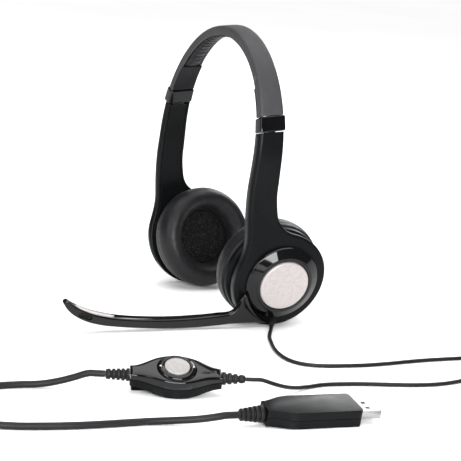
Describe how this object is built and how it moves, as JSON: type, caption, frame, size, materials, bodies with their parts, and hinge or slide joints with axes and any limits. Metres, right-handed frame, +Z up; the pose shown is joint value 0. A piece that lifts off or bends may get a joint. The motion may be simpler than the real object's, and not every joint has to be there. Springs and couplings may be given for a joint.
{
  "type": "office headset",
  "caption": "Wired on-ear headset: arched headband on sliding arms, padded ear cups, swinging boom microphone, in-line control and USB plug.",
  "frame": {"origin": "centre of the headset's footprint on the surface that it stands on, measured without the cord and what is on it", "axes": "+X towards the wearer's right, +Y forward, the way that the boom points, +Z up"},
  "size_m": [0.3169, 0.3892, 0.1736],
  "materials": {
    "headband_matte": "fine matte, moulded",
    "pad_leatherette": "soft matte leatherette with cross pleats",
    "inner_plastic": "matte, moulded",
    "gloss_black": "high gloss",
    "satin_black": "satin",
    "silver_paint": "satin, warm silver",
    "steel": "brushed",
    "cushion_leatherette": "soft sheen leatherette",
    "speaker_cloth": "fine open weave",
    "soft_black": "matte, moulded",
    "cord_sheath": "satin sheath",
    "circuit_board": "solder mask",
    "plug_metal": "bright tin plate",
    "contact_block": "moulded"
  },
  "bodies": {
    "left_arm": {"left_arm_shell": "satin_black", "left_arm_cover": "satin_black", "left_slider_strip": "steel", "left_slider_screw": "steel", "left_disc": "silver_paint", "cord_gland": "soft_black", "thin_cord_out": "cord_sheath", "thin_cord_back": "cord_sheath", "thick_cord_out": "cord_sheath", "thick_cord_back": "cord_sheath", "thin_cord_coil": "cord_sheath", "thick_cord_coil": "cord_sheath", "control_top": "gloss_black", "control_bottom": "satin_black", "control_board": "circuit_board", "mute_switch": "steel", "clip_pin": "steel", "thin_cord_relief": "soft_black", "thick_cord_relief": "soft_black", "plug_top": "satin_black", "plug_bottom": "satin_black", "plug_board": "circuit_board", "usb_shell": "plug_metal", "usb_tongue": "contact_block", "plug_relief": "soft_black"},
    "headband": {"headband_cover": "headband_matte", "headband_spring": "steel", "headband_pad": "pad_leatherette", "left_adjuster_cover": "inner_plastic", "right_adjuster_cover": "inner_plastic", "left_collar": "gloss_black", "right_collar": "gloss_black"},
    "right_arm": {"right_arm_shell": "satin_black", "right_arm_cover": "satin_black", "right_slider_strip": "steel", "right_slider_screw": "steel", "right_disc": "silver_paint", "right_trim_ring": "gloss_black"},
    "left_cup_ball": {"left_cup_ball": "steel"},
    "left_ear_cup": {"left_cup_housing": "satin_black", "left_driver_baffle": "inner_plastic", "left_driver_magnet": "steel", "left_driver_diaphragm": "inner_plastic", "left_cloth_disc": "speaker_cloth", "left_ear_cushion": "cushion_leatherette"},
    "right_cup_ball": {"right_cup_ball": "steel"},
    "right_ear_cup": {"right_cup_housing": "satin_black", "right_driver_baffle": "inner_plastic", "right_driver_magnet": "steel", "right_driver_diaphragm": "inner_plastic", "right_cloth_disc": "speaker_cloth", "right_ear_cushion": "cushion_leatherette"},
    "boom": {"boom_hub_ring": "gloss_black", "boom_arm": "gloss_black", "boom_inlay": "silver_paint", "mic_grille": "speaker_cloth", "mic_capsule": "steel"},
    "volume_rocker": {"volume_rocker": "gloss_black"},
    "mute_button": {"mute_button": "silver_paint"},
    "clip": {"control_clip": "satin_black"}
  },
  "joints": [
    {"name": "left_slider", "type": "slide", "parent": "left_arm", "child": "headband", "axis": [0.2964, -0.0556, 0.9534], "range_m": [0, 0.016]},
    {"name": "right_slider", "type": "slide", "parent": "headband", "child": "right_arm", "axis": [0.2964, 0.0556, -0.9534], "range_m": [0, 0.016]},
    {"name": "left_cup_tilt", "type": "hinge", "parent": "left_arm", "child": "left_cup_ball", "pos_m": [-0.05898, -0.05154, 0.02833], "axis": [0.0698, 0.993, -0.0956], "range_deg": [-2.5, 6]},
    {"name": "left_cup_swivel", "type": "hinge", "parent": "left_cup_ball", "child": "left_ear_cup", "pos_m": [-0.05898, -0.05154, 0.02833], "axis": [-0.2413, 0.1098, 0.9642], "range_deg": [-4, 4]},
    {"name": "right_cup_tilt", "type": "hinge", "parent": "right_arm", "child": "right_cup_ball", "pos_m": [0.05898, -0.05154, 0.02833], "axis": [0.0698, -0.993, 0.0956], "range_deg": [-2.5, 6]},
    {"name": "right_cup_swivel", "type": "hinge", "parent": "right_cup_ball", "child": "right_ear_cup", "pos_m": [0.05898, -0.05154, 0.02833], "axis": [0.2413, 0.1098, 0.9642], "range_deg": [-4, 4]},
    {"name": "boom_swing", "type": "hinge", "parent": "left_arm", "child": "boom", "pos_m": [-0.0669, -0.05103, 0.02785], "axis": [0.9679, -0.0442, 0.2473], "range_deg": [0, 100]},
    {"name": "volume_rock", "type": "hinge", "parent": "left_arm", "child": "volume_rocker", "pos_m": [-0.17481, 0.06847, 0.01216], "axis": [-0.8727, 0.2927, -0.3907], "range_deg": [-2.5, 2.5], "stiffness_Nm_per_rad": 0.3},
    {"name": "mute_press", "type": "slide", "parent": "left_arm", "child": "mute_button", "axis": [0.3704, -0.1243, -0.9205], "range_m": [0, 0.0008], "stiffness_N_per_m": 600, "springref_m": -0.0005},
    {"name": "clip_squeeze", "type": "hinge", "parent": "left_arm", "child": "clip", "pos_m": [-0.16458, 0.07717, 0.00402], "axis": [0.8727, -0.2927, 0.3907], "range_deg": [0, 12], "stiffness_Nm_per_rad": 0.3, "springref_deg": -8.59}
  ]
}
